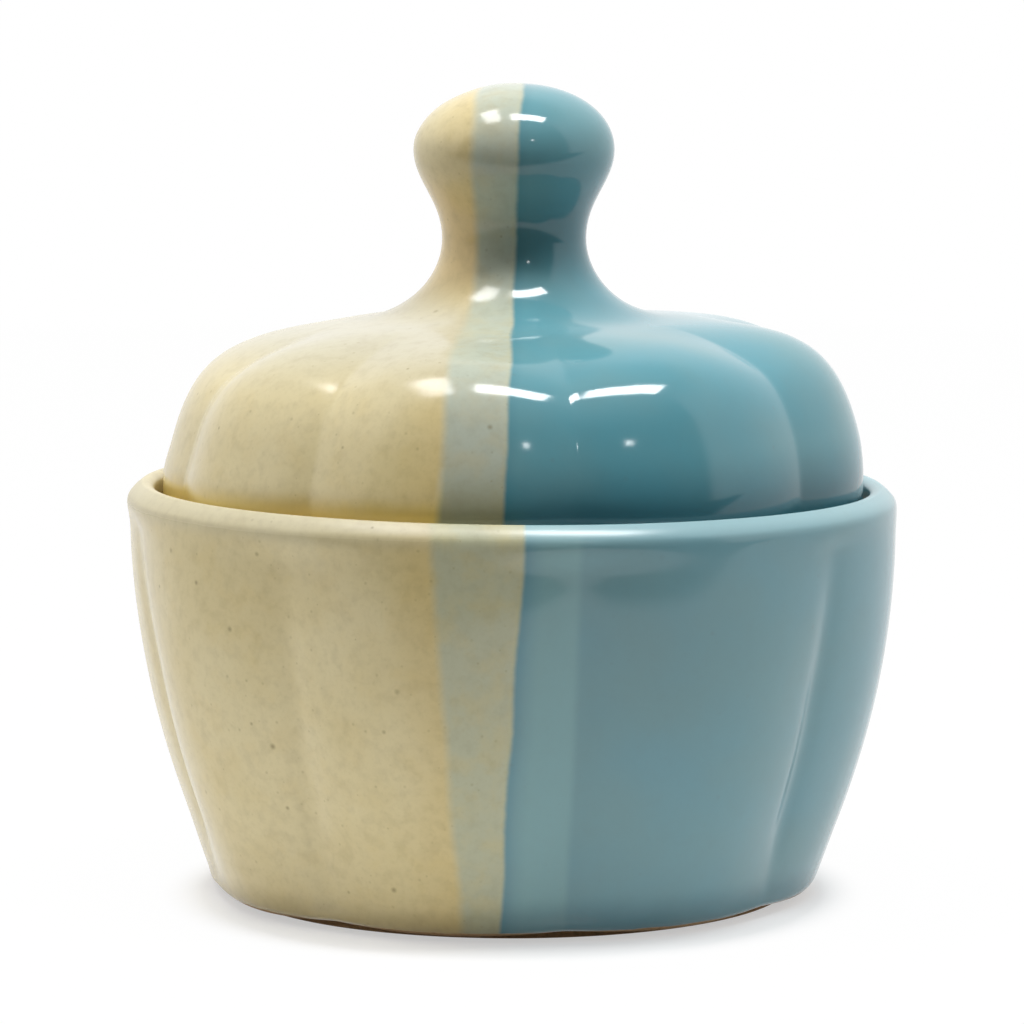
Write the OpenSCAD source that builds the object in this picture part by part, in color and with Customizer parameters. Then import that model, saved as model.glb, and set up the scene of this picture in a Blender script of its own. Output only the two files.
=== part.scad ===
// Storage jar: a lobed bowl and a lobed, domed lid with a round knob.
// Lengths are in millimetres and angles in degrees. The front faces -Y and the table is at z = 0.

/* [Lobes] */
// Number of lobes round the jar
lobe_count = 8; // [6:1:12]
// Turn of the front groove, from the front towards the right
groove_turn = 10.5; // [0:0.5:22]
// Softness of the groove bottoms, from a crease to a wave
groove_softness = 0.15; // [0.1:0.05:0.6]

/* [Bowl] */
// Width of the bowl across its rim
rim_width = 125; // [118:1:136]
// Height of the bowl, from the table to the crest of the rim
bowl_height = 66.5; // [58:0.5:80]
// Width of the flat underside, inside the rounded base edge
base_width = 94; // [84:1:98]
// Depth of the bowl's grooves
bowl_groove = 2.6; // [1:0.1:3.2]
// Thickness of the bowl's wall behind the middle of a lobe
bowl_wall = 6; // [5:0.5:8]
// Thickness of the bowl's floor
floor_thickness = 4.5; // [3.5:0.5:7]
// Lean of the wall outwards, just above the base
wall_lean = 22.8; // [16:0.2:28]
// Breadth of the rounded base edge
base_round_breadth = 3.3; // [2:0.1:5]
// Height of the rounded base edge
base_round_height = 2.7; // [2:0.1:5]
// Reach of the rounded inside corner along the floor
inside_corner = 11; // [6:0.5:16]

/* [Rim] */
// Thickness of the rim between its mouth and its outside
rim_thickness = 4.5; // [4:0.5:6]
// Height of the upright outside of the rim, with its rounded edge
rim_band = 6; // [4:0.5:8]
// Height of the rounded outer edge of the rim
rim_edge = 2; // [1.2:0.1:3]
// Radius of the rounded inside edge of the rim
mouth_round = 1.2; // [0.6:0.1:1.6]
// Height of the smooth band below the crest, above the grooves
smooth_band = 3; // [2.5:0.5:8]
// Height over which the bowl's grooves fade out towards the smooth band
bowl_fade = 8.5; // [3:0.5:12]

/* [Foot] */
// Height of the foot ring
foot_height = 1.5; // [1:0.1:3]
// Breadth of the foot ring
foot_breadth = 5; // [3:0.5:8]
// Distance of the foot ring inside the grooves of the underside
foot_inset = 0.8; // [0.5:0.1:3]

/* [Seat] */
// Depth of the lid's seat below the crest of the rim
seat_depth = 5; // [3.5:0.5:7]
// Breadth of the ledge that carries the lid
ledge_breadth = 4; // [3:0.5:5]
// Gap between the lid and the mouth, all round
lid_gap = 0.8; // [0.4:0.1:1.2]

/* [Lid] */
// Height of the dome above the rim, where it meets the sweep of the neck
dome_height = 26.8; // [22:0.2:32]
// Lean of the dome's side inwards, just above the rim
dome_lean = 10; // [0:0.5:16]
// Thickness of the dome behind the middle of a lobe
dome_wall = 6.5; // [5.5:0.5:8]
// Thickness of the lid's bottom edge
lid_edge = 5; // [4.5:0.5:6]
// Depth of the lid's grooves
lid_groove = 3; // [1:0.1:3.4]
// Height above the rim at which the dome begins to curve in
dome_start = 2.5; // [1.5:0.5:5]
// Height above the rim over which the lid's grooves fade in
lid_fade = 3; // [1.5:0.5:6]
// Width at which the lid's grooves begin, round the neck
lid_start_width = 56; // [40:1:64]
// Width at which the lid's grooves reach their full depth
lid_full_width = 96; // [80:1:108]
// Width of the dome where it meets the sweep of the neck
dome_top_width = 50.2; // [44:0.2:60]

/* [Knob] */
// Width of the knob at its widest
knob_width = 32.6; // [28:0.2:38]
// Width of the neck at its narrowest
neck_width = 23.2; // [20:0.2:26]
// Height of the narrowest part of the neck above the dome
neck_rise = 12.9; // [11:0.1:16]
// Height of the knob's widest part above the neck
knob_rise = 14.2; // [12:0.2:18]
// Height of the knob's crown above its widest part
crown_height = 10.7; // [8:0.1:14]

/* [Hidden] */
// Small overlap that makes joined or cut shapes pass through each other
overlap = 1;
// Step in from the top of the neck's skin to the knob, hidden in the narrowest part
neck_step = 0.1;
// Points along each curve
steps = 12;
short_steps = 5;
// Facets along one lobe, and how far they crowd towards the groove
lobe_facets = 12;
crowding = 0.5;
// Shares of a height or breadth that shape the curves
round_pull = 0.55;
wall_low_pull = 0.348;
wall_high_pull = 0.39;
crest_share = 0.41;
band_pull = 0.4;
edge_low_in = 0.175;
edge_high_out = 0.375;
edge_high_drop = 0.2;
edge_pull = 0.35;
edge_low_slope = 35;
edge_high_slope = 55;
inner_corner_at = 0.2;
dome_side_pull = 0.89;
dome_top_pull = 0.672;
dome_top_tilt = 5.7;
neck_low_pull = 0.61;
neck_side_pull = 0.48;
stem_low_pull = 0.43;
stem_high_pull = 0.35;
crown_side_pull = 0.565;
crown_top_pull = 0.557;
// Share of the groove depth that is left at the underside
base_groove_share = 0.55;

$fn = 96;
segments = lobe_count * lobe_facets;
rim_radius = rim_width / 2;
base_radius = base_width / 2;
mouth_radius = rim_radius - rim_thickness;
crest_radius = mouth_radius + crest_share * rim_thickness;
lip_height = bowl_height - rim_band;
seat_height = bowl_height - seat_depth;
ledge_radius = mouth_radius - ledge_breadth;
floor_height = foot_height + floor_thickness;
edge_radius = base_radius + base_round_breadth;
edge_height = foot_height + base_round_height;
wall_rise = lip_height - edge_height;
foot_radius = base_radius - base_groove_share * bowl_groove - foot_inset;
lid_radius = mouth_radius - lid_gap;
dome_base = bowl_height + dome_start;
dome_top = bowl_height + dome_height;
dome_top_radius = dome_top_width / 2;
neck_radius = neck_width / 2;
neck_height = dome_top + neck_rise;
knob_radius = knob_width / 2;
knob_height = neck_height + knob_rise;
jar_height = knob_height + crown_height;

// Point of a cubic curve from a to d, pulled towards b and c
function curve(a, b, c, d, t) =
    pow(1 - t, 3) * a + 3 * pow(1 - t, 2) * t * b + 3 * (1 - t) * t * t * c + t * t * t * d;

// Points of a cubic curve without its first point
function curve_points(a, b, c, d, count) = [for (i = [1:count]) curve(a, b, c, d, i / count)];

// Smooth step from 0 to 1
function ease(x) = let (s = min(max(x, 0), 1)) s * s * (3 - 2 * s);

// Height of the lobed surface over the groove bottom, from 0 in the groove to 1 on the lobe
function lobe(angle) =
    let (wave = sin(lobe_count * angle / 2))
    (sqrt(wave * wave + groove_softness * groove_softness) - groove_softness)
        / (sqrt(1 + groove_softness * groove_softness) - groove_softness);

// Angle of a facet's edge from the front groove, crowded towards the grooves
function facet_angle(j) =
    let (u = j / lobe_facets)
    (u - crowding * sin(360 * u) / (2 * PI)) * 360 / lobe_count;

// Outward direction of an outline at one of its points; the two ends stay level
function outward(outline, i) =
    (i == 0 || i == len(outline) - 1) ? [1, 0] :
    let (along = outline[i + 1] - outline[i - 1])
    [along.y, -along.x] / norm(along);

// Point of a lobed skin
function skin_point(outline, depths, i, j) =
    let (
        angle = facet_angle(j),
        place = outline[i] - depths[i] * (1 - lobe(angle)) * outward(outline, i),
        turned = angle + groove_turn
    )
    [place.x * sin(turned), -place.x * cos(turned), place.y];

// Outside of the bowl over the middle of a lobe, from the underside to the crest of the rim
base_edge = [base_radius, foot_height];
wall_foot = [edge_radius, edge_height];
wall_head = [rim_radius, lip_height];
lean = [sin(wall_lean), cos(wall_lean)];
wall_low = wall_foot + wall_low_pull * wall_rise * lean;
wall_high = wall_head - [0, wall_high_pull * wall_rise];
crest = [crest_radius, bowl_height];
edge_low = [rim_radius - edge_low_in * rim_edge, bowl_height - rim_edge];
edge_high = crest + rim_edge * [edge_high_out, -edge_high_drop];
edge_low_pull = edge_pull * rim_edge * [-sin(edge_low_slope), cos(edge_low_slope)];
edge_high_pull = edge_pull * rim_edge * [-sin(edge_high_slope), cos(edge_high_slope)];
bowl_outline = concat(
    [base_edge],
    curve_points(base_edge, base_edge + [round_pull * base_round_breadth, 0],
        wall_foot - round_pull * base_round_height * lean, wall_foot, short_steps),
    curve_points(wall_foot, wall_low, wall_high, wall_head, steps),
    curve_points(wall_head, wall_head + [0, band_pull * rim_band], edge_low - edge_low_pull, edge_low, short_steps),
    curve_points(edge_low, edge_low + edge_low_pull, edge_high - edge_high_pull, edge_high, short_steps - 2),
    curve_points(edge_high, edge_high + edge_high_pull / 2, crest + [edge_low_in * rim_edge, 0], crest, short_steps - 2)
);
bowl_depths = [for (p = bowl_outline)
    bowl_groove * ease((bowl_height - smooth_band - p.y) / bowl_fade)
        * (base_groove_share + (1 - base_groove_share) * ease((p.y - foot_height) / base_round_height))];

// Inside of the bowl's wall, kept behind the outside and clear of the ledge
function inside_wall(t) =
    let (p = curve(wall_foot, wall_low, wall_high, wall_head, t))
    [min(p.x - bowl_wall, ledge_radius), p.y];
inner_corner = inside_wall(inner_corner_at);
inner_floor = [inner_corner.x - inside_corner, floor_height];
inner_bend = [edge_radius - bowl_wall, floor_height];

// Outside of the lid over the middle of a lobe, from its seat to the narrowest part of the neck
lid_foot = [lid_radius, seat_height];
lid_band = [lid_radius, bowl_height];
dome_foot = [lid_radius, dome_base];
dome_head = [dome_top_radius, dome_top];
tilt = [-cos(dome_top_tilt), sin(dome_top_tilt)];
dome_low = dome_foot + dome_side_pull * (dome_top - dome_base) * [-sin(dome_lean), cos(dome_lean)];
dome_high = dome_head - dome_top_pull * (lid_radius - dome_top_radius) * tilt;
neck = [neck_radius, neck_height];
dome_outline = concat(
    [lid_foot, lid_band, dome_foot],
    curve_points(dome_foot, dome_low, dome_high, dome_head, steps),
    curve_points(dome_head, dome_head + neck_low_pull * (dome_top_radius - neck_radius) * tilt,
        neck - [0, neck_side_pull * neck_rise], neck, short_steps + 1)
);
dome_depths = [for (p = dome_outline)
    lid_groove * ease((p.y - bowl_height) / lid_fade)
        * ease((2 * p.x - lid_start_width) / (lid_full_width - lid_start_width))];

// Inside of the dome, parallel to its outside
function inside_dome(t) =
    let (
        nudge = 1 / (steps * steps),
        p = curve(dome_foot, dome_low, dome_high, dome_head, t),
        along = curve(dome_foot, dome_low, dome_high, dome_head, t + nudge) - p
    )
    p - dome_wall * [along.y, -along.x] / norm(along);
roof_height = inside_dome(1).y;

// Closed solid inside a lobed skin, with a flat underside and a flat top
module lobed_solid(outline, depths) {
    last = len(outline) - 1;
    points = [for (i = [0:last]) for (j = [0:segments - 1]) skin_point(outline, depths, i, j)];
    underside = [for (j = [0:segments - 1]) j];
    top = [for (j = [0:segments - 1]) last * segments + segments - 1 - j];
    sides = [for (i = [0:last - 1]) for (j = [0:segments - 1])
        let (
            k = (j + 1) % segments,
            a = i * segments + j,
            b = i * segments + k,
            c = a + segments,
            d = b + segments
        )
        each [[a, c, b], [b, c, d]]];
    polyhedron(points = points, faces = concat([underside], sides, [top]));
}

module foot_ring() {
    rotate_extrude()
        translate([foot_radius - foot_breadth, 0])
            square([foot_breadth, foot_height + overlap]);
}

module bowl_hollow() {
    rounded_mouth = [for (i = [0:short_steps])
        let (a = 90 * i / short_steps)
        [mouth_radius + mouth_round * (1 - cos(a)), bowl_height - mouth_round * (1 - sin(a))]];
    wall_side = [for (i = [1:steps]) inside_wall(inner_corner_at + (1 - inner_corner_at) * i / steps)];
    below_seat = [for (p = wall_side) if (p.y < seat_height - overlap) p];
    rotate_extrude()
        polygon(concat(
            [[0, floor_height], inner_floor],
            curve_points(inner_floor, inner_bend, inner_bend, inner_corner, short_steps),
            below_seat,
            [[ledge_radius, seat_height], [mouth_radius, seat_height]],
            rounded_mouth,
            [[mouth_radius + mouth_round, bowl_height + overlap], [0, bowl_height + overlap]]
        ));
}

module bowl() {
    color([0.62, 0.66, 0.63])
        difference() {
            union() {
                lobed_solid(bowl_outline, bowl_depths);
                foot_ring();
            }
            bowl_hollow();
        }
}

module knob() {
    knob_foot = [neck_radius - neck_step, neck_height];
    knob_side = [knob_radius, knob_height];
    knob_top = [0, jar_height];
    rotate_extrude()
        polygon(concat(
            [[0, neck_height - overlap], [neck_radius - overlap, neck_height - overlap],
                [neck_radius - overlap, neck_height], knob_foot],
            curve_points(knob_foot, knob_foot + [0, stem_low_pull * knob_rise],
                knob_side - [0, stem_high_pull * knob_rise], knob_side, steps),
            curve_points(knob_side, knob_side + [0, crown_side_pull * crown_height],
                knob_top + [crown_top_pull * knob_radius, 0], knob_top, steps)
        ));
}

module lid_hollow() {
    inner_edge = lid_radius - lid_edge;
    rotate_extrude()
        polygon(concat(
            [[0, seat_height - overlap], [inner_edge, seat_height - overlap], [inner_edge, seat_height]],
            [for (i = [0:steps]) inside_dome(i / steps)],
            [[0, roof_height]]
        ));
}

module lid() {
    color([0.72, 0.70, 0.60])
        difference() {
            union() {
                lobed_solid(dome_outline, dome_depths);
                knob();
            }
            lid_hollow();
        }
}

bowl();
lid();
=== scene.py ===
"""A lobed stoneware storage jar with a domed lid, dipped in a cream and a blue glaze.

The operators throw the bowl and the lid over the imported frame, glaze them, and set the stage.
"""

import math
from collections import namedtuple

import bpy
from bpy.props import FloatProperty, FloatVectorProperty, IntProperty, PointerProperty
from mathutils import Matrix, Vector


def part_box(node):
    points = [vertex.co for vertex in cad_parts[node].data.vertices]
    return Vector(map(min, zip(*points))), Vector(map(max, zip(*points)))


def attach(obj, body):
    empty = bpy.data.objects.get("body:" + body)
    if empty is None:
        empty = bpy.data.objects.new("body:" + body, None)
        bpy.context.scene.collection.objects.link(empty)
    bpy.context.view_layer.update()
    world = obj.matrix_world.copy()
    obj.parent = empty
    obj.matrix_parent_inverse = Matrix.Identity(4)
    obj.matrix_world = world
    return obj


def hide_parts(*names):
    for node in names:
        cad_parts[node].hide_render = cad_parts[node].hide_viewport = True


bl_info = {
    "name": "Lobed Storage Jar",
    "version": (1, 0, 0),
    "blender": (4, 5, 0),
    "location": "3D View > Sidebar > Jar",
    "description": "Throws a lobed bowl and its domed lid, glazes both and sets a pale stage",
    "category": "Add Mesh",
}

# The frame, in metres
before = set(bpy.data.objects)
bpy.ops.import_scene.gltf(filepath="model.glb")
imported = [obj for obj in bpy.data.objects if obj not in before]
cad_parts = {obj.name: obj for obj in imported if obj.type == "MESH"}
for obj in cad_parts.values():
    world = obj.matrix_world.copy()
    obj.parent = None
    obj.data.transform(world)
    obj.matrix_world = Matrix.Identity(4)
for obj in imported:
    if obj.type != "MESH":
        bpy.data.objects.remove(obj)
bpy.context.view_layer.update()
BOWL_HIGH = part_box("bowl")[1]
LID_LOW, LID_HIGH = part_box("lid")
MM = 0.001

# How far round a groove that strays takes the clay beside it along
STRAY_SPAN = math.radians(33)

# Length of a bend's handles, as a share of its reach, that makes about a quarter of a circle
ROUND = 0.55

# Size of the slow waver of a surface finished by hand, in metres
WAVER_SIZE = 0.035

# Fineness of the glaze's patterns, per millimetre
SLOW, MIDDLE, FINE, BLOTCH = 0.045, 0.22, 1.3, 0.45

# Places in the noise, in millimetres, so that no two patterns follow each other
MIDDLE_SEED, FINE_SEED = (31.0, 7.0, 3.0), (5.0, 53.0, 11.0)
BLOTCH_SEED, SPECK_SEED = (71.0, 13.0, 37.0), (17.0, 9.0, 23.0)
CREAM_SEED, SAGE_SEED = (3.0, 1.0, 2.0), (41.0, 17.0, 29.0)

# How far a dip line wavers and trembles, in millimetres, and how fine it does so, per millimetre
LINE_WAVER, LINE_TREMOR = 2.0, 0.3
LINE_SLOW, LINE_QUICK = 0.05, 0.5

# Heights between which the thin cream of the lid's shoulder ends towards the neck, in millimetres
NECK_START, NECK_END = 93.0, 100.0


def paint(red, green, blue):
    """A colour as a painter reads it from a screen, 0 to 255, as the linear one that a shader takes."""
    linear = []
    for value in (red, green, blue):
        level = value / 255
        linear.append(level / 12.92 if level <= 0.04045 else ((level + 0.055) / 1.055) ** 2.4)
    return (*linear, 1.0)


# Kinds of settings

def length(name, description, default):
    """A size in metres that a user may change."""
    return FloatProperty(
        name=name, description=description, default=default,
        min=0.0, precision=4, subtype='DISTANCE', unit='LENGTH',
    )


def turn(name, description, degrees):
    """An angle that a user may change, given here in degrees."""
    return FloatProperty(
        name=name, description=description, default=math.radians(degrees),
        subtype='ANGLE', unit='ROTATION',
    )


def share(name, description, default, highest=1.0):
    """A plain factor that a user may change."""
    return FloatProperty(
        name=name, description=description, default=default,
        min=0.0, max=highest, subtype='FACTOR',
    )


def power(name, description, default):
    """A lamp's power in watts that a user may change."""
    return FloatProperty(name=name, description=description, default=default, min=0, unit='POWER')


def colour(name, description, red, green, blue):
    """A glaze or clay colour that a user may change."""
    return FloatVectorProperty(
        name=name, description=description, default=paint(red, green, blue),
        size=4, min=0.0, max=1.0, subtype='COLOR',
    )


class JarSizes(bpy.types.PropertyGroup):
    """Sizes of the bowl and the lid."""

    around: IntProperty(
        name="Points around", description="Points in each ring before it is smoothed",
        default=256, min=64, max=512,
    )
    lobes: IntProperty(
        name="Lobes", description="Number of lobes round the jar",
        default=8, min=3, max=16,
    )
    bowl_softness: share("Bowl groove softness", "How round the bottom of the bowl's grooves is", 0.12)
    lid_softness: share("Lid groove softness", "How round the bottom of the lid's grooves is", 0.03)
    crease: turn("Crease", "Half width of the narrow crease in the bottom of the bowl's grooves", 2.6)
    bowl_turn: turn("Bowl turn", "Turn of the bowl's first groove from the front, towards the right", 10.0)
    lid_turn: turn("Lid turn", "Turn of the lid's first groove from the front, towards the right", 10.5)
    bowl_stray: turn("Bowl stray", "How far the bowl's groove at the left strays from its even place", 3.5)
    lid_stray: turn("Lid stray", "How far the lid's groove at the left strays from its even place", 7.0)
    rim_radius: length("Rim radius", "Outside radius of the bowl at its rim", max(BOWL_HIGH.x, BOWL_HIGH.y))
    bowl_height: length("Bowl height", "Top of the rim above the table", BOWL_HIGH.z)
    base_radius: length("Base radius", "Radius where the glazed wall meets the underside", 47 * MM)
    wall_lean: turn("Wall lean", "Lean of the wall outwards, just above the base", 22.8)
    foot_height: length("Foot height", "Height of the bare foot ring", 1.5 * MM)
    foot_inner: length("Foot inner radius", "Inside radius of the foot ring", 39.8 * MM)
    foot_outer: length("Foot outer radius", "Outside radius of the foot ring at a lobe", 45.6 * MM)
    floor_level: length("Floor level", "Height of the bowl's floor above the table", 6 * MM)
    rim_thickness: length("Rim thickness", "Thickness of the rim", 4.5 * MM)
    rim_band: length("Rim band", "Height of the upright outside of the rim, with its rounded edge", 6 * MM)
    rim_edge: length("Rim edge", "Height of the rounded outer edge of the rim", 2 * MM)
    bowl_groove: length("Bowl groove", "Depth of the bowl's grooves between the lobes", 2.5 * MM)
    bowl_crease: length("Bowl crease", "Depth of the narrow crease in the bowl's grooves", 0.42 * MM)
    hem: length("Hem", "How much lower the glazed edge over the foot hangs at a lobe", 0.8 * MM)
    seat_level: length("Seat level", "Height of the ledge that the lid rests on", LID_LOW.z)
    ledge_radius: length("Ledge radius", "Inside radius of the ledge", 54 * MM)
    lid_radius: length("Lid radius", "Radius of the lid's seat", max(LID_HIGH.x, LID_HIGH.y))
    lid_edge: length("Lid edge", "Breadth of the lid's flat seat", 5 * MM)
    lid_groove: length("Lid groove", "Depth of the lid's grooves between the lobes", 2.35 * MM)
    groove_start: length("Groove start", "Radius at which the lid's grooves begin, round the neck", 28 * MM)
    groove_full: length("Groove full", "Radius at which the lid's grooves reach their full depth", 48 * MM)
    dome_lean: turn("Dome lean", "Lean of the dome's side inwards, just above the rim", 10.0)
    dome_tilt: turn("Dome tilt", "Rise of the dome's top towards the neck", 5.7)
    dome_top: length("Dome top", "Height of the dome where the neck starts", 93.3 * MM)
    dome_radius: length("Dome top radius", "Radius where the dome turns up into the neck", 25.1 * MM)
    neck_level: length("Neck level", "Height of the narrowest place of the neck", 106.2 * MM)
    neck_radius: length("Neck radius", "Radius of the neck at its narrowest", 11.6 * MM)
    knob_level: length("Knob level", "Height of the widest place of the knob", 120.4 * MM)
    knob_radius: length("Knob radius", "Radius of the knob at its widest", 16.3 * MM)
    top: length("Top", "Top of the knob above the table", LID_HIGH.z)
    waver: length("Hand waver", "How far the hand-made surface strays", 0.15 * MM)
    rim_lean: length("Rim lean", "How much higher the rim stands at the left, and lower at the right", 0.55 * MM)
    lid_lean: length("Lid lean", "How much lower the dome's shoulder is at the left and higher at the right", 1.05 * MM)
    knob_shift: length("Knob shift", "How far the knob stands to the right of the axis", 0.35 * MM)
    knob_slope: length("Knob slope", "How much lower the knob's crown slopes at the left", 0.45 * MM)


class GlazeColours(bpy.types.PropertyGroup):
    """Colours and roughness of the glazes and of the bare clay."""

    cream: colour("Cream", "The pale glaze where it is thick", 216, 200, 149)
    cream_light: colour("Light cream", "The pale glaze where it breaks lighter", 222, 208, 162)
    cream_worn: colour("Worn cream", "The pale glaze where it runs thin over a shoulder", 191, 186, 162)
    amber: colour("Amber", "The pale glaze along the dip line", 206, 177, 98)
    # Apricot: gathered cream round the neck, lighter and warmer as painted warm bounce light
    apricot_and_bounce: colour("Apricot", "The pale glaze where it gathers round the neck", 232, 204, 142)
    # Honey: gathered cream at the lid's lower edge, brightened as painted warm bounce light
    honey_and_bounce: colour("Honey", "The pale glaze where it gathers at the lid's lower edge", 232, 203, 98)
    # Umber: gathered cream at the foot, darkened as painted shade
    umber_and_shade: colour("Umber", "The pale glaze where it gathers at the foot", 142, 122, 66)
    sage: colour("Sage", "Where both glazes lie over each other", 187, 188, 158)
    sage_warm: colour("Warm sage", "The overlap where the pale glaze shows more", 193, 188, 149)
    sage_pale: colour("Pale sage", "The thin line where the overlap ends", 194, 192, 150)
    lid_sage: colour("Lid sage", "The overlap on the lid", 184, 191, 174)
    lid_sage_warm: colour("Warm lid sage", "The overlap on the lid where the pale glaze shows more", 187, 188, 164)
    # Olive: gathered overlap at the lower edges, darkened as painted shade
    olive_and_shade: colour("Olive", "The overlap where it gathers", 132, 127, 86)
    bowl_blue: colour("Bowl blue", "The blue glaze on the bowl", 112, 156, 166)
    lid_blue: colour("Lid blue", "The blue glaze on the lid", 92, 153, 166)
    blue_grey: colour("Grey blue", "The blue glaze where it breaks greyer", 122, 152, 150)
    blue_pale: colour("Pale blue", "The blue glaze where it runs thin over the rim", 164, 199, 205)
    blue_mist: colour("Misty blue", "The blue glaze between the dip line and the bowl's first groove", 126, 165, 168)
    blue_deep: colour("Deep blue", "The blue glaze beside the dip line", 66, 122, 138)
    # Teal: gathered blue at the lower edges and round the neck, darkened as painted shade
    teal_and_shade: colour("Teal", "The blue glaze where it gathers", 36, 92, 106)
    speck: colour("Speck", "Iron specks in the clay under the glaze", 113, 92, 48)
    clay: colour("Clay", "Bare fired clay of the foot and the seats", 178, 143, 104)
    cream_rough: share("Cream roughness", "Roughness of the pale glaze", 0.18)
    sage_rough: share("Sage roughness", "Roughness where both glazes lie over each other", 0.13)
    blue_rough: share("Blue roughness", "Roughness of the blue glaze", 0.075)
    clay_rough: share("Clay roughness", "Roughness of the bare clay", 0.82)


class StudioSettings(bpy.types.PropertyGroup):
    """Camera and lamps."""

    camera_distance: length("Camera distance", "How far in front of the jar's axis the camera stands", 0.8174)
    camera_height: length("Camera height", "Height of the camera above the table", 0.15627)
    camera_pitch: FloatProperty(
        name="Camera pitch", description="How far the camera looks down",
        default=0.1154, subtype='ANGLE', unit='ROTATION',
    )
    lens: FloatProperty(
        name="Lens", description="Focal length on a 36 mm sensor",
        default=177.8, min=10, max=400, subtype='DISTANCE_CAMERA', unit='CAMERA',
    )
    tent: share("Tent", "Level of the white tent round the jar", 1.0, 2.0)
    roof: share("Roof", "Level of the tent's roof", 0.5, 2.0)
    front: share("Front", "Level of the dark opening in front of the jar", 0.03, 2.0)
    lamp_height: length("Lamp height", "Height of the two overhead lamps", 1.02)
    strip_power: power("Strip", "Power of the long lamp overhead", 6.6)
    side_power: power("Side", "Power of the broad lamp overhead at the left", 4.0)
    spark_power: power("Spark", "Power of the tiny lamp in front", 0.1)


# Helpers for shapes

def ease(amount):
    """0 below 0, 1 above 1 and a smooth step between."""
    amount = min(max(amount, 0.0), 1.0)
    return amount * amount * (3 - 2 * amount)


def climb(value, start, full):
    """0 at start, 1 at full and a smooth step between, whichever of the two is higher."""
    return ease((value - start) / (full - start))


def from_axis(place):
    """Distance of a place from the jar's axis."""
    return math.hypot(place.x, place.y)


def outward(place, normal):
    """How far a normal points away from the axis."""
    return (place.x * normal.x + place.y * normal.y) / max(from_axis(place), 1e-9)


def spot(radius, level):
    """A point of a half-section: radius and height."""
    return Vector((radius, level))


def along_slope(degrees):
    """Direction up and inwards along a slope whose outside faces up by so many degrees."""
    return spot(-math.sin(math.radians(degrees)), math.cos(math.radians(degrees)))


def bend(start, pull, push, end, count):
    """Points along a curve from start to end, without the start; pull and push are its two handles."""
    points = []
    for step in range(1, count + 1):
        along = step / count
        left = 1 - along
        near = start * left ** 3 + pull * (3 * left * left * along)
        points.append(near + push * (3 * left * along * along) + end * along ** 3)
    return points


def throw(name, section, around, first):
    """Spins a half-section round the axis, from the turn of the first groove, and closes both ends on the axis."""
    side = Vector((math.sin(first), -math.cos(first), 0))

    def stand(point):
        return side * point.x + Vector((0, 0, point.y))

    # The section, drawn point by point
    bpy.ops.object.select_all(action='DESELECT')
    bpy.ops.mesh.primitive_plane_add(size=MM, enter_editmode=True, location=(0, 0, 0))
    piece = bpy.context.object
    piece.name = piece.data.name = name
    bpy.ops.mesh.select_mode(type='VERT')
    bpy.ops.mesh.select_all(action='SELECT')
    bpy.ops.mesh.merge(type='CENTER')
    bpy.ops.transform.translate(value=stand(section[0]))
    for before, after in zip(section, section[1:]):
        bpy.ops.mesh.extrude_region_move(TRANSFORM_OT_translate={"value": stand(after - before)})

    # A full turn
    bpy.ops.mesh.select_all(action='SELECT')
    bpy.ops.mesh.spin(steps=around, angle=2 * math.pi, center=(0, 0, 0), axis=(0, 0, 1))
    bpy.ops.mesh.select_all(action='SELECT')
    bpy.ops.mesh.remove_doubles(threshold=0.002 * MM)
    bpy.ops.mesh.normals_make_consistent(inside=False)
    bpy.ops.object.mode_set(mode='OBJECT')
    smooth = piece.modifiers.new("Smooth", 'SUBSURF')
    smooth.levels = smooth.render_levels = 1
    bpy.ops.object.modifier_apply(modifier=smooth.name)

    # The two small holes on the axis, closed to a point
    bpy.ops.object.mode_set(mode='EDIT')
    bpy.ops.mesh.select_mode(type='EDGE')
    bpy.ops.mesh.select_all(action='DESELECT')
    bpy.ops.mesh.select_non_manifold(
        use_wire=False, use_multi_face=False, use_non_contiguous=False, use_verts=False,
    )
    bpy.ops.mesh.edge_collapse()
    bpy.ops.mesh.select_all(action='SELECT')
    bpy.ops.mesh.normals_make_consistent(inside=False)
    bpy.ops.object.mode_set(mode='OBJECT')
    bpy.ops.object.shade_smooth()
    return piece


def press(piece, name, depth, weigh, direction='NORMAL', texture=None):
    """Moves the surface by depth, at each point as much as weigh says from its place and normal."""
    weights = [weigh(vertex.co, vertex.normal) for vertex in piece.data.vertices]
    group = piece.vertex_groups.new(name=name)
    for index, weight in enumerate(weights):
        if weight > 0:
            group.add((index,), weight, 'REPLACE')
    push = piece.modifiers.new(name, 'DISPLACE')
    push.direction = direction
    push.strength = depth
    push.mid_level = 0.5 if texture else 0.0
    push.vertex_group = name
    if texture:
        push.texture = texture
        push.texture_coords = 'LOCAL'
    bpy.ops.object.modifier_apply(modifier=push.name)
    piece.vertex_groups.clear()


def groove_off(place, sizes, first, stray):
    """Turn from a place to the nearest groove.

    The second groove to the left of the first one strays from its even place, as hand work does.
    """
    spacing = 2 * math.pi / sizes.lobes
    bearing = math.atan2(place.x, -place.y)
    strayed = first - 2 * spacing + stray
    bearing -= stray * ease(1 - abs(bearing - strayed) / STRAY_SPAN)
    return (bearing - first + spacing / 2) % spacing - spacing / 2


def valley(off, lobes, soft):
    """1 between two lobes and 0 on the crest of a lobe."""
    lobe = math.sqrt(math.sin(lobes / 2 * off) ** 2 + soft ** 2) - soft
    return 1 - lobe / (math.sqrt(1 + soft ** 2) - soft)


def hand_texture():
    """The slow waver of a surface finished by hand."""
    texture = bpy.data.textures.get("hand_waver") or bpy.data.textures.new("hand_waver", 'CLOUDS')
    texture.noise_scale = WAVER_SIZE
    texture.noise_depth = 1
    return texture


# Helpers for glazes

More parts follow.
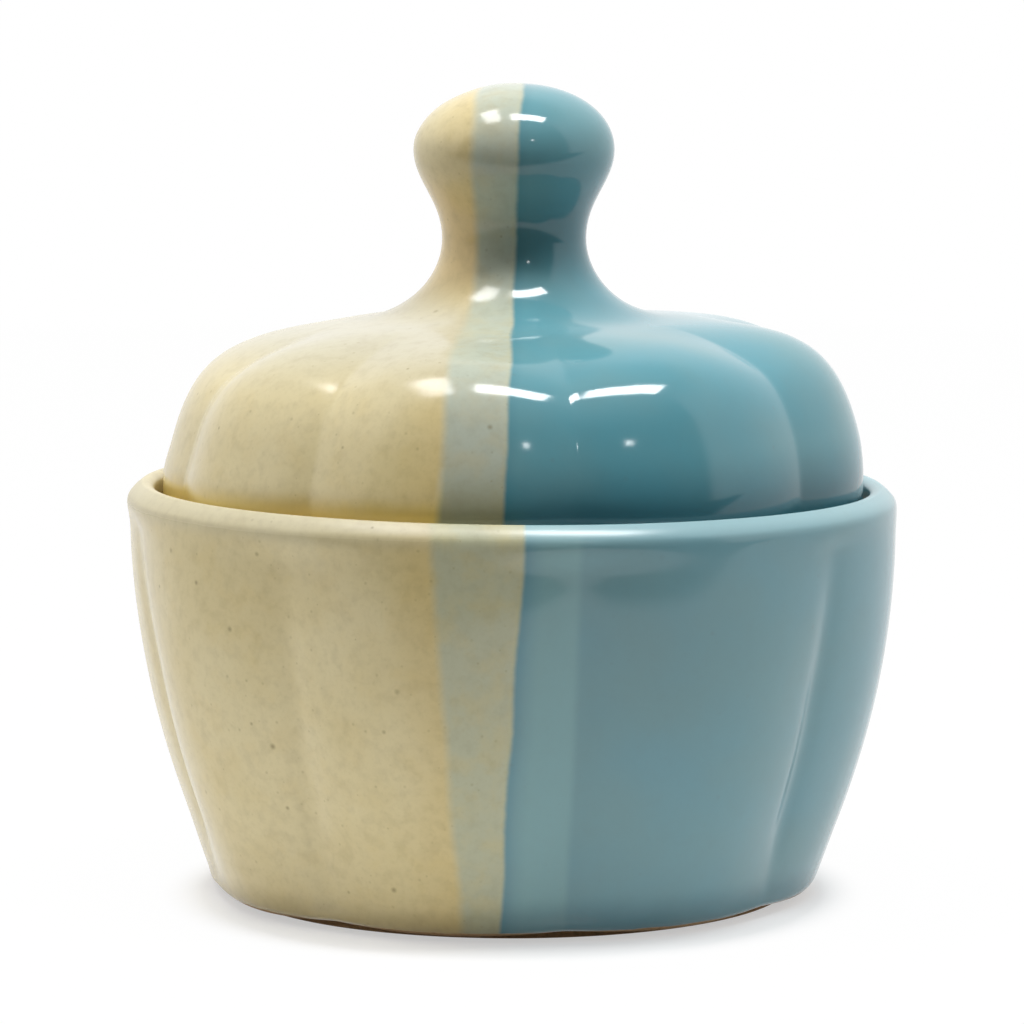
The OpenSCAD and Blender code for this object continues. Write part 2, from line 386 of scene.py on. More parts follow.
class Board:
    """Adds nodes to a node tree and joins them."""

    def __init__(self, tree):
        self.tree = tree
        tree.nodes.clear()

    def add(self, kind, **settings):
        """A new node with its settings."""
        node = self.tree.nodes.new(kind)
        for key, value in settings.items():
            setattr(node, key, value)
        return node

    def feed(self, socket, value):
        """Joins a socket to another one, or sets it."""
        if isinstance(value, bpy.types.NodeSocket):
            self.tree.links.new(value, socket)
        else:
            socket.default_value = value

    def calc(self, operation, *values):
        """One sum of a Math node."""
        node = self.add("ShaderNodeMath", operation=operation)
        for socket, value in zip(node.inputs, values):
            self.feed(socket, value)
        return node.outputs[0]

    def hypot(self, across, deep):
        """Length of the two sides of a right angle."""
        squares = self.calc('MULTIPLY', across, across), self.calc('MULTIPLY', deep, deep)
        return self.calc('SQRT', self.calc('ADD', *squares))

    def step(self, value, low, high, bottom=0.0, top=1.0):
        """A smooth step: bottom where value is low, top where it is high."""
        node = self.add("ShaderNodeMapRange", interpolation_type='SMOOTHSTEP')
        for socket, entry in zip(node.inputs, (value, low, high, bottom, top)):
            self.feed(socket, entry)
        return node.outputs[0]

    def mix(self, amount, first, second):
        """A mix of two colours; the Mix node keeps its colours in sockets 6 and 7."""
        node = self.add("ShaderNodeMix", data_type='RGBA')
        self.feed(node.inputs[0], amount)
        self.feed(node.inputs[6], first)
        self.feed(node.inputs[7], second)
        return node.outputs[2]

    def blend(self, amount, first, second):
        """A mix of two numbers; the Mix node keeps its numbers in sockets 2 and 3."""
        node = self.add("ShaderNodeMix", data_type='FLOAT')
        self.feed(node.inputs[0], amount)
        self.feed(node.inputs[2], first)
        self.feed(node.inputs[3], second)
        return node.outputs[0]

    def noise(self, vector, scale, detail=2.0, roughness=0.5):
        """Cloudy noise from 0 to 1."""
        node = self.add("ShaderNodeTexNoise")
        self.feed(node.inputs["Vector"], vector)
        self.feed(node.inputs["Scale"], scale)
        self.feed(node.inputs["Detail"], detail)
        self.feed(node.inputs["Roughness"], roughness)
        return node.outputs["Fac"]

    def move(self, vector, offset):
        """A vector moved by an offset."""
        node = self.add("ShaderNodeVectorMath", operation='ADD')
        self.feed(node.inputs[0], vector)
        self.feed(node.inputs[1], offset)
        return node.outputs[0]

    def split(self, vector):
        """The three parts of a vector."""
        node = self.add("ShaderNodeSeparateXYZ")
        self.feed(node.inputs[0], vector)
        return node.outputs

    def specks(self, vector, spacing, radius, kept):
        """Round specks at random places, spacing and radius in millimetres; kept is the share that is there."""
        node = self.add("ShaderNodeTexVoronoi", feature='F1')
        self.feed(node.inputs["Vector"], vector)
        self.feed(node.inputs["Scale"], 1 / spacing)
        dice = self.add("ShaderNodeSeparateColor")
        self.feed(dice.inputs[0], node.outputs["Color"])
        size = self.step(dice.outputs[0], 0.0, 1.0, 0.5 * radius / spacing, radius / spacing)
        dot = self.step(node.outputs["Distance"], 0.0, size, 1.0, 0.0)
        return self.calc('MULTIPLY', dot, self.calc('LESS_THAN', dice.outputs[1], kept))


# A dip plane: its place across the jar on the axis at the table, and its change towards the back and upwards
Plane = namedtuple("Plane", "start back rise")

# Where glaze gathers over a lower edge, darkened there with painted shade: the edge, the heights to which each coat
# does, how much, and the cream's colour
PoolAndShade = namedtuple("PoolAndShade", "low cream_high blue_high much cream")

# Where a coat runs thin: between two heights, and how much
Thin = namedtuple("Thin", "low high much")

# A paler blue before a groove: the turn of that groove, and how much
Mist = namedtuple("Mist", "turn much")

# A height round which both coats gather, with painted shade in the blue and painted warm bounce light in the cream, and
# how much each does
Hollow = namedtuple("Hollow", "level cream blue")

NOT_THIN, NO_MIST, NO_HOLLOW_SHADE = Thin(0.0, 1.0, 0.0), Mist(0.0, 0.0), Hollow(0.0, 0.0, 0.0)


def glaze(name, colours, body_blue, overlap, dips, pool_and_shade, bare,
          thin_cream=NOT_THIN, thin_blue=NOT_THIN, mist=NO_MIST, hollow=NO_HOLLOW_SHADE):
    """A two-coat glaze: cream on the left, blue on the right, sage where the coats overlap.

    overlap holds the two tones of the sage, and dips the planes where the sage and the blue begin. Lengths are in
    millimetres. bare gives what stays bare clay, from the board, the radius and the height.
    """
    material = bpy.data.materials.new(name)
    material.use_nodes = True
    board = Board(material.node_tree)
    where = board.add("ShaderNodeTexCoord")
    scale = board.add("ShaderNodeVectorMath", operation='SCALE')
    board.feed(scale.inputs[0], where.outputs["Object"])
    board.feed(scale.inputs["Scale"], 1 / MM)
    place = scale.outputs[0]
    across, deep, up = board.split(place)

    slow = board.noise(place, SLOW, 2.0)
    middle = board.noise(board.move(place, MIDDLE_SEED), MIDDLE, 3.0)
    fine = board.noise(board.move(place, FINE_SEED), FINE, 3.0, 0.6)

    def beyond(plane, seed):
        """Distance beyond a dip plane, with the small waver of a real dip line."""
        line = board.calc('MULTIPLY_ADD', deep, plane.back, plane.start)
        line = board.calc('MULTIPLY_ADD', up, plane.rise, line)
        waver = board.noise(board.move(place, seed), LINE_SLOW, 1.0)
        line = board.calc('MULTIPLY_ADD', waver, LINE_WAVER, line)
        tremor = board.noise(board.move(place, seed), LINE_QUICK, 2.0)
        line = board.calc('MULTIPLY_ADD', tremor, LINE_TREMOR, line)
        return board.calc('ADD', board.calc('SUBTRACT', across, line), (LINE_WAVER + LINE_TREMOR) / 2)

    past_cream = beyond(dips[0], CREAM_SEED)
    past_sage = beyond(dips[1], SAGE_SEED)
    in_sage = board.step(past_cream, -1.0, 1.0)
    in_blue = board.step(past_sage, -0.5, 0.5)
    from_shaded_hollow = board.calc('ABSOLUTE', board.calc('SUBTRACT', up, hollow.level))

    # Cream with an amber edge
    cream = board.mix(board.step(slow, 0.35, 0.65), colours.cream, colours.cream_light)
    cream = board.mix(board.step(middle, 0.45, 0.75, 0.0, 0.12), cream, colours.amber)
    cream = board.mix(board.step(past_cream, -9.0, -0.3, 0.0, 0.3), cream, colours.amber)
    worn = board.step(up, thin_cream.low, thin_cream.high, 0.0, thin_cream.much)
    worn = board.calc('MULTIPLY', worn, board.step(up, NECK_START, NECK_END, 1.0, 0.1))
    cream = board.mix(worn, cream, colours.cream_worn)
    # Gathered cream round the neck, lighter and warmer: painted warm bounce light in the neck's hollow
    cream = board.mix(board.step(from_shaded_hollow, 4.0, 12.0, hollow.cream, 0.0), cream, colours.apricot_and_bounce)

    # Sage overlap with a pale line where the cream coat ends
    sage = board.mix(board.step(middle, 0.4, 0.7), *overlap)
    sage = board.mix(board.step(past_sage, -1.0, -0.35, 0.0, 0.15), sage, colours.sage_pale)

    # Blue, deeper beside the overlap, misty before the first groove and pale where it runs thin
    blue = board.mix(board.step(slow, 0.3, 0.7, 0.0, 0.4), body_blue, colours.blue_grey)
    blue = board.mix(board.step(past_sage, 0.0, 2.2, 0.22, 0.0), blue, colours.blue_deep)
    bearing = board.calc('ARCTAN2', across, board.calc('MULTIPLY', deep, -1.0))
    before = board.step(bearing, mist.turn - 0.02, mist.turn + 0.01, mist.much, 0.0)
    before = board.calc('MULTIPLY', before, board.step(past_sage, 0.4, 4.0))
    blue = board.mix(before, blue, colours.blue_mist)
    # Gathered blue round the neck, darker: painted shade in the neck's hollow
    blue = board.mix(board.step(from_shaded_hollow, 2.0, 10.0, hollow.blue, 0.0), blue, colours.teal_and_shade)
    pale = board.step(up, thin_blue.low, thin_blue.high, 0.0, thin_blue.much)
    blue = board.mix(pale, blue, colours.blue_pale)

    # Specks of the clay, seen less through more glaze
    blotch = board.noise(board.move(place, BLOTCH_SEED), BLOTCH, 2.0)
    small = board.specks(place, spacing=2.0, radius=0.42, kept=0.7)
    large = board.specks(board.move(place, SPECK_SEED), spacing=5.0, radius=0.75, kept=0.5)
    freckle = board.calc('ADD', board.step(blotch, 0.4, 0.8, 0.0, 0.12), board.calc('MULTIPLY', small, 0.24))
    freckle = board.calc('ADD', freckle, board.calc('MULTIPLY', large, 0.55))
    freckle = board.calc('ADD', freckle, board.step(fine, 0.45, 0.75, 0.0, 0.06))
    seen = board.blend(in_blue, board.blend(in_sage, 1.0, 0.9), 0.18)

    coat = board.mix(in_blue, board.mix(in_sage, cream, sage), blue)
    coat = board.mix(board.calc('MULTIPLY', freckle, seen), coat, colours.speck)

    # Thicker glaze towards the lower edge, with painted shade that darkens the coats there
    uneven = board.calc('MULTIPLY_ADD', middle, 1.4, board.calc('SUBTRACT', up, 0.7))
    pool_and_shade_high = board.blend(in_sage, pool_and_shade.cream_high, pool_and_shade.blue_high)
    gathered_and_shaded = board.step(uneven, pool_and_shade.low, pool_and_shade_high, pool_and_shade.much, 0.0)
    thick = board.mix(in_blue, board.mix(in_sage, pool_and_shade.cream, colours.olive_and_shade), colours.teal_and_shade)
    coat = board.mix(gathered_and_shaded, coat, thick)

    # Bare clay with a ragged edge
    ragged = board.calc('MULTIPLY_ADD', middle, 0.7, -0.35)
    raw = bare(board, board.hypot(across, deep), board.calc('ADD', up, ragged))
    clay = board.mix(board.step(fine, 0.35, 0.7, 0.0, 0.35), colours.clay, colours.speck)
    finish = board.mix(raw, coat, clay)

    # Roughness, a little more where the blue runs thin
    rough = board.blend(in_sage, colours.cream_rough, colours.sage_rough)
    rough = board.blend(in_blue, rough, colours.blue_rough)
    rough = board.calc('MULTIPLY_ADD', middle, 0.04, rough)
    rough = board.calc('MULTIPLY_ADD', pale, 0.27, rough)
    rough = board.blend(raw, rough, colours.clay_rough)

    # Grain of the bare clay and a faint unevenness of the glaze
    grain = board.calc('MULTIPLY', fine, raw)
    grain = board.calc('MULTIPLY_ADD', grain, 1.6, board.calc('MULTIPLY', middle, 0.5))
    bump = board.add("ShaderNodeBump")
    bump.inputs["Strength"].default_value = 0.25
    bump.inputs["Distance"].default_value = 0.1 * MM
    board.feed(bump.inputs["Height"], grain)

    shader = board.add("ShaderNodeBsdfPrincipled")
    shader.inputs["IOR"].default_value = 1.5
    board.feed(shader.inputs["Base Color"], finish)
    board.feed(shader.inputs["Roughness"], rough)
    board.feed(shader.inputs["Normal"], bump.outputs[0])
    output = board.add("ShaderNodeOutputMaterial")
    board.feed(output.inputs["Surface"], shader.outputs[0])
    return material


def hand_over(piece, material, node, body):
    """Gives a finished piece its glaze and its place in the frame."""
    piece.data.materials.clear()
    piece.data.materials.append(material)
    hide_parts(node)
    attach(piece, body)


# The bowl

def bowl_section(sizes):
    """Half-section of the bowl: underneath from the axis, up the outside, over the rim and down the inside."""
    inner, outer, foot = sizes.foot_inner, sizes.foot_outer, sizes.foot_height
    ledge, seat, floor = sizes.ledge_radius, sizes.seat_level, sizes.floor_level

    # Underside and foot ring, with rounded edges
    rings = [spot(radius * MM, foot) for radius in (1, 4, 14, 26)]
    rings += [spot(inner - 1.2 * MM, foot), spot(inner - 0.3 * MM, 0.9 * foot), spot(inner, 0.55 * foot)]
    rings += [spot(inner + 0.2 * MM, 0.2 * foot), spot(inner + 0.7 * MM, 0.0)]
    rings += [spot(0.5 * (inner + outer), 0.0), spot(outer - 0.6 * MM, 0.0)]
    rings += [spot(outer - 0.15 * MM, 0.15 * foot), spot(outer, 0.5 * foot), spot(outer + 0.2 * MM, 0.9 * foot)]

    # Rounded lower edge and wall; the wall's handles are shares of its rise that follow the photo's outline
    corner = spot(3.3, 2.7) * MM
    wall_pull, wall_push = 0.348, 0.39
    base = spot(sizes.base_radius, foot)
    low = base + corner
    high = spot(sizes.rim_radius, sizes.bowl_height - sizes.rim_band)
    rise = high.y - low.y
    lean = spot(math.sin(sizes.wall_lean), math.cos(sizes.wall_lean))
    rings += [base]
    rings += bend(base, base + spot(ROUND * corner.x, 0), low - lean * ROUND * corner.y, low, 5)
    rings += bend(low, low + lean * wall_pull * rise, high - spot(0, wall_push * rise), high, 18)

    # Rim: an upright band, a rounded outer edge and a crest nearer to the inside
    edge, handle = sizes.rim_edge, 0.35 * sizes.rim_edge
    crest = spot(sizes.rim_radius - 0.59 * sizes.rim_thickness, sizes.bowl_height)
    mouth = spot(sizes.rim_radius - sizes.rim_thickness, sizes.bowl_height - 1.2 * MM)
    edge_low = spot(sizes.rim_radius - 0.175 * edge, sizes.bowl_height - edge)
    edge_high = crest + spot(0.375, -0.2) * edge
    steep, gentle = along_slope(35) * handle, along_slope(55) * handle
    rings += bend(high, high + spot(0, 0.4 * sizes.rim_band), edge_low - steep, edge_low, 6)
    rings += bend(edge_low, edge_low + steep, edge_high - gentle, edge_high, 5)
    rings += bend(edge_high, edge_high + 0.5 * gentle, crest + spot(0.5 * handle, 0), crest, 4)
    rings += bend(crest, crest - spot(0.5 * (crest.x - mouth.x), 0), mouth + spot(0, 0.6 * MM), mouth, 4)

    # Mouth and the ledge for the lid, with rounded corners
    rings += [spot(mouth.x, seat + 2 * MM), spot(mouth.x, seat + 0.5 * MM)]
    rings += [spot(mouth.x - 0.12 * MM, seat + 0.12 * MM), spot(mouth.x - 0.5 * MM, seat)]
    rings += [spot(ledge + 1 * MM, seat), spot(ledge + 0.4 * MM, seat - 0.06 * MM)]
    rings += [spot(ledge + 0.06 * MM, seat - 0.4 * MM), spot(ledge, seat - 1 * MM)]

    # Inside wall, bending into the floor
    wall_end, hollow, flat = spot(ledge, 40 * MM), spot(47.8, 14) * MM, spot(35 * MM, floor)
    rings += [spot(ledge, 50 * MM), wall_end]
    rings += bend(wall_end, wall_end - spot(0, 9 * MM), hollow + spot(2.4, 6) * MM, hollow, 5)
    rings += bend(hollow, hollow - spot(2.2, 5.5) * MM, flat + spot(8 * MM, 0), flat, 6)
    rings += [spot(radius * MM, floor) for radius in (20, 8, 3, 1)]
    return rings


def shape_bowl(bowl, sizes):
    """Presses the grooves into the bowl and gives it the unevenness of hand work."""
    foot, outer = sizes.foot_height, sizes.foot_outer
    groove_end, groove_most = 63.8 * MM, 58.8 * MM
    fade_start, fade_full = 60 * MM, 34 * MM
    crease_end, crease_most = 63 * MM, 49 * MM
    mouth_radius = 57.9 * MM

    def off(place):
        return groove_off(place, sizes, sizes.bowl_turn, sizes.bowl_stray)

    def outside(place, normal):
        on_wall = outward(place, normal) > 0.05 or (normal.z < -0.3 and place.z < 4 * MM)
        return climb(from_axis(place), 43 * MM, 45 * MM) if on_wall else 0.0

    def in_valley(place, normal):
        reach = climb(place.z, groove_end, groove_most) * (0.5 + 0.5 * climb(place.z, fade_start, fade_full))
        reach *= climb(normal.z, -0.8, -0.3) * (0.55 + 0.45 * climb(place.z, foot, foot + 14 * MM))
        return outside(place, normal) * reach * valley(off(place), sizes.lobes, sizes.bowl_softness)

    def in_crease(place, normal):
        reach = climb(place.z, crease_end, crease_most) * climb(place.z, 3 * MM, 23 * MM)
        return outside(place, normal) * reach * math.exp(-(off(place) / sizes.crease) ** 2)

    def on_hem(place, normal):
        reach = climb(from_axis(place), outer + 0.3 * MM, outer + 1.1 * MM) * climb(place.z, 12 * MM, 2 * MM)
        return reach * (1 - valley(off(place), sizes.lobes, sizes.bowl_softness))

    def by_hand(place, normal):
        return outside(place, normal) * climb(place.z, foot, foot + 4 * MM)

    def rim_side(place, sign):
        on_rim = climb(from_axis(place), mouth_radius, mouth_radius + 0.1 * MM) * climb(place.z, 30 * MM, 60 * MM)
        return on_rim * max(sign * place.x, 0) / sizes.rim_radius

    press(bowl, "grooves", -sizes.bowl_groove, in_valley)
    press(bowl, "creases", -sizes.bowl_crease, in_crease)
    press(bowl, "hem", -sizes.hem, on_hem, 'Z')
    press(bowl, "hand", sizes.waver, by_hand, texture=hand_texture())
    press(bowl, "left_rim", sizes.rim_lean, lambda place, normal: rim_side(place, -1), 'Z')
    press(bowl, "right_rim", -sizes.rim_lean, lambda place, normal: rim_side(place, 1), 'Z')


def bowl_bare(board, radius, up):
    """Bare clay on the foot and on the ledge that the lid rests on."""
    foot_low, foot_high = 1.4, 1.7
    seat, seat_reach, seat_radius = 61.4, 0.55, 57.8
    foot = board.step(up, foot_low, foot_high, 1.0, 0.0)
    near = board.calc('LESS_THAN', board.calc('ABSOLUTE', board.calc('SUBTRACT', up, seat)), seat_reach)
    ledge = board.calc('MULTIPLY', near, board.calc('LESS_THAN', radius, seat_radius))
    return board.calc('MAXIMUM', foot, ledge)


class JAR_OT_bowl(bpy.types.Operator):
    """Throw, groove and glaze the bowl"""

    bl_idname = "jar.bowl"
    bl_label = "Bowl"

    def execute(self, context):
        sizes, colours = context.scene.jar_sizes, context.scene.jar_glazes
        bowl = throw("glazed_bowl", bowl_section(sizes), sizes.around, sizes.bowl_turn)
        shape_bowl(bowl, sizes)
        material = glaze(
            "bowl_glaze", colours, colours.bowl_blue,
            overlap=(colours.sage, colours.sage_warm),
            dips=(Plane(start=-6.0, back=0.03, rise=-0.065), Plane(start=-2.2, back=0.0, rise=0.0585)),
            # Towards the foot: gathered glaze, darkened with painted shade
            pool_and_shade=PoolAndShade(low=1.6, cream_high=6.5, blue_high=8.0, much=0.5, cream=colours.umber_and_shade),
            bare=bowl_bare,
            thin_cream=Thin(low=61.5, high=66.0, much=0.6),
            thin_blue=Thin(low=62.8, high=65.4, much=0.6),
            mist=Mist(turn=sizes.bowl_turn, much=1.0),
        )
        hand_over(bowl, material, "bowl", "bowl")
        return {'FINISHED'}


# The lid

def lid_section(sizes):
    """Half-section of the lid: its hollow from the axis, round the seat, up the dome and over the knob."""
    seat, edge = sizes.seat_level, sizes.lid_radius
    inner = edge - sizes.lid_edge

    # Hollow underneath
    roof, flat, waist = 86.8 * MM, 20 * MM, spot(49, 76) * MM
    rings = [spot(radius * MM, roof) for radius in (1, 3, 10)] + [spot(flat, roof)]
    rings += bend(spot(flat, roof), spot(36 * MM, roof), waist + spot(-2.5, 8) * MM, waist, 9)
    rings += bend(waist, waist - spot(-0.8, 3) * MM, spot(inner, 68 * MM), spot(inner, seat + 1 * MM), 4)

    # Flat seat with rounded edges
    rings += [spot(inner + 0.1 * MM, seat + 0.25 * MM), spot(inner + 0.6 * MM, seat)]
    rings += [spot(0.5 * (inner + edge), seat), spot(edge - 0.9 * MM, seat)]
    rings += [spot(edge - 0.2 * MM, seat + 0.2 * MM), spot(edge, seat + 0.9 * MM)]

    # Dome, neck and knob; their handles are shares of each rise or run that follow the photo's outline
    dome_pull, dome_push = 0.89, 0.672
    neck_pull, neck_push = 0.61, 0.48
    stem_pull, stem_push = 0.43, 0.35
    crown_pull, crown_push = 0.565, 0.557
    lean = spot(-math.sin(sizes.dome_lean), math.cos(sizes.dome_lean))
    tilt = spot(-math.cos(sizes.dome_tilt), math.sin(sizes.dome_tilt))
    foot = spot(edge, seat + 7.5 * MM)
    head = spot(sizes.dome_radius, sizes.dome_top)
    neck = spot(sizes.neck_radius, sizes.neck_level)
    side = spot(sizes.knob_radius, sizes.knob_level)
    peak = spot(0.6 * MM, sizes.top)
    dome_rise, dome_run, neck_run = head.y - foot.y, foot.x - head.x, head.x - neck.x
    neck_rise, stem_rise, crown = neck.y - head.y, side.y - neck.y, peak.y - side.y
    rings += [spot(edge, seat + 3 * MM), spot(edge, seat + 5 * MM), foot]
    rings += bend(foot, foot + lean * dome_pull * dome_rise, head - tilt * dome_push * dome_run, head, 20)
    rings += bend(head, head + tilt * neck_pull * neck_run, neck - spot(0, neck_push * neck_rise), neck, 10)
    rings += bend(neck, neck + spot(0, stem_pull * stem_rise), side - spot(0, stem_push * stem_rise), side, 8)
    rings += bend(side, side + spot(0, crown_pull * crown), peak + spot(crown_push * side.x, 0), peak, 10)
    return rings


def shape_lid(lid, sizes):
    """Presses the grooves into the lid and gives it the unevenness of hand work."""
    seat, knob = sizes.seat_level, sizes.knob_level
    shoulder_start, shoulder_full = 18 * MM, 44 * MM

    def outside(place, normal):
        return 1.0 if outward(place, normal) + normal.z > 0 and place.z > seat + 0.5 * MM else 0.0

    def in_valley(place, normal):
        reach = climb(place.z, seat + 0.5 * MM, seat + 2.5 * MM)
        reach *= climb(from_axis(place), sizes.groove_start, sizes.groove_full)
        off = groove_off(place, sizes, sizes.lid_turn, sizes.lid_stray)
        return outside(place, normal) * reach * valley(off, sizes.lobes, sizes.lid_softness)

    def by_hand(place, normal):
        return outside(place, normal) * climb(place.z, seat + 3 * MM, seat + 7 * MM)

    def shoulder(place, sign):
        out = (sign * place.x - shoulder_start) / (shoulder_full - shoulder_start)
        return climb(place.z, seat + 5 * MM, seat + 13 * MM) * min(max(out, 0), 1)

    def knob_left(place, normal):
        return climb(-place.x, 1 * MM, 10 * MM) * climb(place.z, knob + 0.4 * MM, knob + 4.9 * MM)

    def upper(place, normal):
        return climb(place.z, seat + 4.5 * MM, seat + 13.5 * MM)

    press(lid, "grooves", -sizes.lid_groove, in_valley)
    press(lid, "hand", sizes.waver, by_hand, texture=hand_texture())
    press(lid, "left_shoulder", -sizes.lid_lean, lambda place, normal: shoulder(place, -1), 'Z')
    press(lid, "right_shoulder", sizes.lid_lean, lambda place, normal: shoulder(place, 1), 'Z')
    press(lid, "knob_slope", -sizes.knob_slope, knob_left, 'Z')
    press(lid, "knob_shift", sizes.knob_shift, upper, 'X')


def lid_bare(board, radius, up):
    """Bare clay on the lid's seat."""
    seat_low, seat_high = 61.9, 62.2
    return board.step(up, seat_low, seat_high, 1.0, 0.0)


class JAR_OT_lid(bpy.types.Operator):
    """Throw, groove and glaze the lid with its knob"""

    bl_idname = "jar.lid"
    bl_label = "Lid"

    def execute(self, context):
        sizes, colours = context.scene.jar_sizes, context.scene.jar_glazes
        lid = throw("glazed_lid", lid_section(sizes), sizes.around, sizes.lid_turn)
        shape_lid(lid, sizes)
        material = glaze(
            "lid_glaze", colours, colours.lid_blue,
            overlap=(colours.lid_sage, colours.lid_sage_warm),
            dips=(Plane(start=-5.3, back=0.11, rise=0.0037), Plane(start=-4.25, back=0.0, rise=0.045)),
            # Above the seat: gathered glaze with painted shade, in the blue up to 77 mm, and painted warm bounce light
            # in the honey cream
            pool_and_shade=PoolAndShade(low=66.5, cream_high=70.2, blue_high=77.0, much=0.65, cream=colours.honey_and_bounce),
            bare=lid_bare,
            thin_cream=Thin(low=82.0, high=92.0, much=0.9),
            # Round the neck: gathered glaze with painted shade in the blue and painted warm bounce light in the cream
            hollow=Hollow(level=sizes.neck_level / MM + 1.0, cream=0.75, blue=0.32),
        )
        hand_over(lid, material, "lid", "lid")
        return {'FINISHED'}


# The stage

def hang_lamp(name, place, size, power, rotation=(0, 0, 0)):
    """A flat lamp that the camera doesn't see; unturned it shines straight down."""
    bpy.ops.object.select_all(action='DESELECT')
    bpy.ops.object.light_add(type='AREA', location=place, rotation=rotation)
    lamp = bpy.context.object
    lamp.name = lamp.data.name = name
    lamp.data.shape = 'RECTANGLE'
    lamp.data.size, lamp.data.size_y = size
    lamp.data.energy = power
    lamp.visible_camera = False


def floor_material():
    """A pale floor, white to the camera, that keeps the soft shadow; to the jar its white table ends in front."""
    shadow_full, shadow_end = 0.046, 0.062
    table_end, table_full = -0.27, -0.2
    material = bpy.data.materials.new("pale_floor")
    material.use_nodes = True
    board = Board(material.node_tree)
    path = board.add("ShaderNodeLightPath")
    camera = path.outputs["Is Camera Ray"]
    seen = board.calc('MAXIMUM', camera, path.outputs["Is Glossy Ray"])
    seen = board.calc('MAXIMUM', seen, path.outputs["Is Transmission Ray"])

    # Distance from the jar, in an oval that is a little deeper than wide
    where = board.add("ShaderNodeTexCoord")
    oval = board.add("ShaderNodeVectorMath", operation='MULTIPLY')
    board.feed(oval.inputs[0], board.move(where.outputs["Object"], (0, 0.003, 0)))
    board.feed(oval.inputs[1], (1.07, 0.96, 1.0))
    reach = board.add("ShaderNodeVectorMath", operation='LENGTH')
    board.feed(reach.inputs[0], oval.outputs[0])
    distance = reach.outputs["Value"]

    # White light from the floor, except in the shadow and past the end of the table
    near = board.step(distance, shadow_full, shadow_end, 0.04, 0.985)
    white = board.calc('MAXIMUM', near, board.step(distance, 0.25, 1.2, 0.5, 1.0))
    deep = board.split(where.outputs["Object"])["Y"]
    table = board.calc('MAXIMUM', camera, board.step(deep, table_end, table_full))
    matt = board.add("ShaderNodeBsdfDiffuse")
    bright = board.step(distance, 0.1, 0.28, 0.9, 0.4)
    bright = board.blend(table, 0.05, board.blend(camera, bright, 0.9))
    board.feed(matt.inputs["Color"], bright)
    glow = board.add("ShaderNodeEmission")
    glow.inputs["Color"].default_value = (1, 1, 1, 1)
    mixed = board.add("ShaderNodeMixShader")
    board.feed(mixed.inputs[0], board.calc('MULTIPLY', board.calc('MULTIPLY', seen, table), white))
    board.feed(mixed.inputs[1], matt.outputs[0])
    board.feed(mixed.inputs[2], glow.outputs[0])
    output = board.add("ShaderNodeOutputMaterial")
    board.feed(output.inputs["Surface"], mixed.outputs[0])
    return material


def light_tent(world, studio):
    """White to the camera; to the jar a white tent with a dimmer roof and a dark opening in front."""
    wall_top, roof_start = 0.65, 0.92
    front_top, front_roof = 0.60, 0.94
    opening_edge, opening_full = 0.30, 0.48
    world.use_nodes = True
    board = Board(world.node_tree)
    where = board.add("ShaderNodeTexCoord")
    across, deep, up = board.split(where.outputs["Generated"])
    level = board.calc('MAXIMUM', board.hypot(across, deep), 0.001)
    ahead = board.calc('DIVIDE', board.calc('MULTIPLY', deep, -1.0), level)
    opening = board.step(ahead, opening_edge, opening_full)
    around = board.step(up, wall_top, roof_start, studio.tent, studio.roof)
    before = board.step(up, front_top, front_roof, studio.front, studio.roof)
    tent = board.add("ShaderNodeBackground")
    board.feed(tent.inputs["Strength"], board.blend(opening, around, before))
    white = board.add("ShaderNodeBackground")
    tent.inputs["Color"].default_value = white.inputs["Color"].default_value = (1, 1, 1, 1)

    # Plain white where the camera looks past the jar, and in what mirrors the walls
    path = board.add("ShaderNodeLightPath")
    walls = board.step(up, wall_top, roof_start, 1.0, 0.0)
    walls = board.calc('MULTIPLY', walls, board.calc('SUBTRACT', 1.0, opening))
    mirrored = board.calc('MAXIMUM', path.outputs["Is Glossy Ray"], path.outputs["Is Transmission Ray"])
    mirrored = board.calc('MULTIPLY', mirrored, walls)
    mixed = board.add("ShaderNodeMixShader")
    board.feed(mixed.inputs[0], board.calc('MAXIMUM', path.outputs["Is Camera Ray"], mirrored))
    board.feed(mixed.inputs[1], tent.outputs[0])
    board.feed(mixed.inputs[2], white.outputs[0])
    output = board.add("ShaderNodeOutputWorld")
    board.feed(output.inputs["Surface"], mixed.outputs[0])


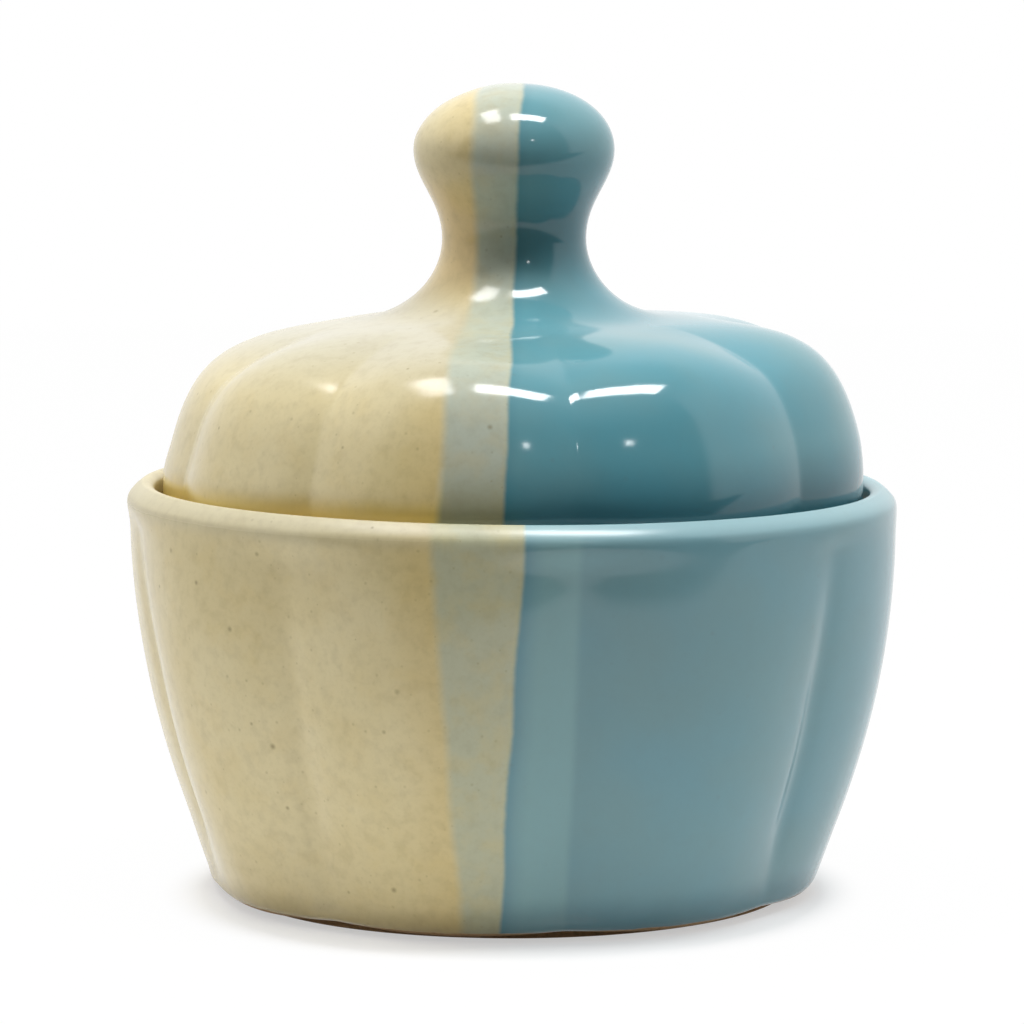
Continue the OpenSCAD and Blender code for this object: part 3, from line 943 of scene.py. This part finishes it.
class JAR_OT_stage(bpy.types.Operator):
    """Set the floor, the tent, the lamps and the camera"""

    bl_idname = "jar.stage"
    bl_label = "Stage"

    def execute(self, context):
        scene, studio = context.scene, context.scene.jar_studio
        bpy.ops.object.select_all(action='DESELECT')
        bpy.ops.mesh.primitive_circle_add(vertices=128, radius=4.0, fill_type='NGON', location=(0, 0, 0))
        floor = context.object
        floor.name = floor.data.name = "floor"
        floor.data.materials.append(floor_material())

        scene.world = scene.world or bpy.data.worlds.new("tent")
        light_tent(scene.world, studio)
        strip, side = Vector((0.19, -0.14, studio.lamp_height)), Vector((-0.32, -0.03, studio.lamp_height))
        spark, knob = Vector((0.31, -0.75, 0.545)), Vector((0, 0, 0.12))
        at_knob = (knob - spark).to_track_quat('-Z', 'Y').to_euler()
        hang_lamp("strip_lamp", strip, size=(0.43, 0.2), power=studio.strip_power)
        hang_lamp("side_lamp", side, size=(0.24, 0.45), power=studio.side_power)
        hang_lamp("spark_lamp", spark, size=(0.04, 0.04), power=studio.spark_power, rotation=at_knob)

        place = (0, -studio.camera_distance, studio.camera_height)
        bpy.ops.object.camera_add(location=place, rotation=(math.pi / 2 - studio.camera_pitch, 0, 0))
        camera = context.object
        camera.name = camera.data.name = "photo_camera"
        camera.data.sensor_width = 36
        camera.data.lens = studio.lens
        camera.data.clip_start = 0.01
        scene.camera = camera
        scene.view_settings.view_transform = 'Standard'
        return {'FINISHED'}


class JAR_PT_panel(bpy.types.Panel):
    """Sizes, colours and steps of the jar"""

    bl_label = "Lobed Storage Jar"
    bl_idname = "JAR_PT_panel"
    bl_space_type = 'VIEW_3D'
    bl_region_type = 'UI'
    bl_category = "Jar"

    def draw(self, context):
        for step in STEPS:
            self.layout.operator(step.bl_idname)
        for settings in (context.scene.jar_sizes, context.scene.jar_glazes, context.scene.jar_studio):
            box = self.layout.box()
            for name in settings.__annotations__:
                box.prop(settings, name)


STEPS = (JAR_OT_bowl, JAR_OT_lid, JAR_OT_stage)
GROUPS = {"jar_sizes": JarSizes, "jar_glazes": GlazeColours, "jar_studio": StudioSettings}


def register():
    for kind in (*GROUPS.values(), *STEPS, JAR_PT_panel):
        bpy.utils.register_class(kind)
    for name, kind in GROUPS.items():
        setattr(bpy.types.Scene, name, PointerProperty(type=kind))


def unregister():
    for name in GROUPS:
        delattr(bpy.types.Scene, name)
    for kind in reversed((*GROUPS.values(), *STEPS, JAR_PT_panel)):
        bpy.utils.unregister_class(kind)


def main():
    register()
    bpy.ops.jar.bowl()
    bpy.ops.jar.lid()
    bpy.ops.jar.stage()


if __name__ == "__main__":
    main()
